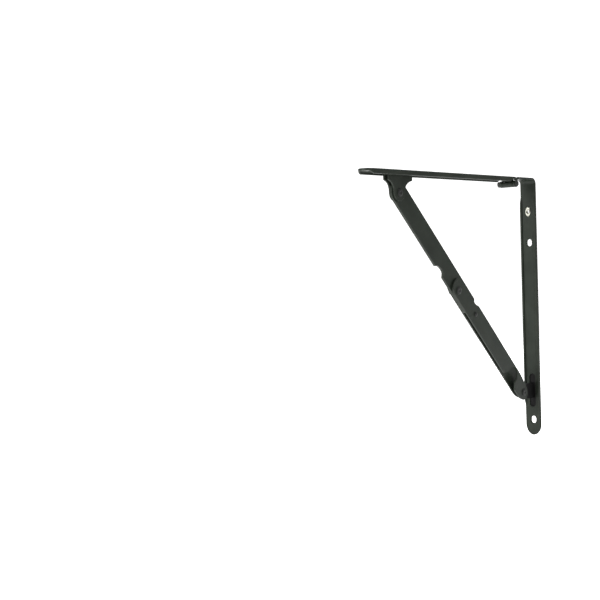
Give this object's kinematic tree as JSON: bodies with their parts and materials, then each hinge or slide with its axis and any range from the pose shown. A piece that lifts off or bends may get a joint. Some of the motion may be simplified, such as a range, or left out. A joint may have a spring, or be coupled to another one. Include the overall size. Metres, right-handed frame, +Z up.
{
  "type": "folding support bracket",
  "caption": "Folding triangular bracket of pressed strap: wall leg, hinged arm and a two-link brace that breaks at a knee so the arm drops flat.",
  "frame": {"origin": "on the flat back of the wall leg, on its centreline, at mid height", "axes": "+X out from the wall, +Y across the strap, +Z up"},
  "size_m": [0.258, 0.0216, 0.252],
  "materials": {
    "paint": "satin dark grey-green paint",
    "rivet_steel": "dark coated rivet",
    "zinc": "bright zinc"
  },
  "bodies": {
    "leg": {"wall_leg": "paint", "leg_eyelet": "zinc", "hinge_pin": "rivet_steel", "foot_lug": "paint", "foot_pivot_rivet": "rivet_steel"},
    "arm": {"shelf_arm": "paint", "arm_clevis": "paint", "clevis_rivet_1": "rivet_steel", "clevis_rivet_2": "rivet_steel", "clevis_pivot_rivet": "rivet_steel"},
    "upper_link": {"upper_link": "paint"},
    "lower_link": {"lower_link": "paint", "knee_rivet_near": "rivet_steel", "knee_rivet_far": "rivet_steel", "detent_button": "rivet_steel"}
  },
  "joints": [
    {"name": "arm_fold", "type": "hinge", "parent": "leg", "child": "arm", "pos_m": [0.0353, 0, 0.1195], "axis": [0, 1, 0], "range_deg": [0, 90]},
    {"name": "clevis_pivot", "type": "hinge", "parent": "arm", "child": "upper_link", "pos_m": [0.2108, 0, 0.1068], "axis": [0, 1, 0], "range_deg": [0, 46.2]},
    {"name": "foot_pivot", "type": "hinge", "parent": "leg", "child": "lower_link", "pos_m": [0.0226, 0, -0.082], "axis": [0, 1, 0], "range_deg": [-45.82, 0]}
  ],
  "couplings": [
    {"joint": "clevis_pivot", "follows": "arm_fold", "ratio": 0.51318},
    {"joint": "foot_pivot", "follows": "arm_fold", "ratio": -0.50899}
  ]
}
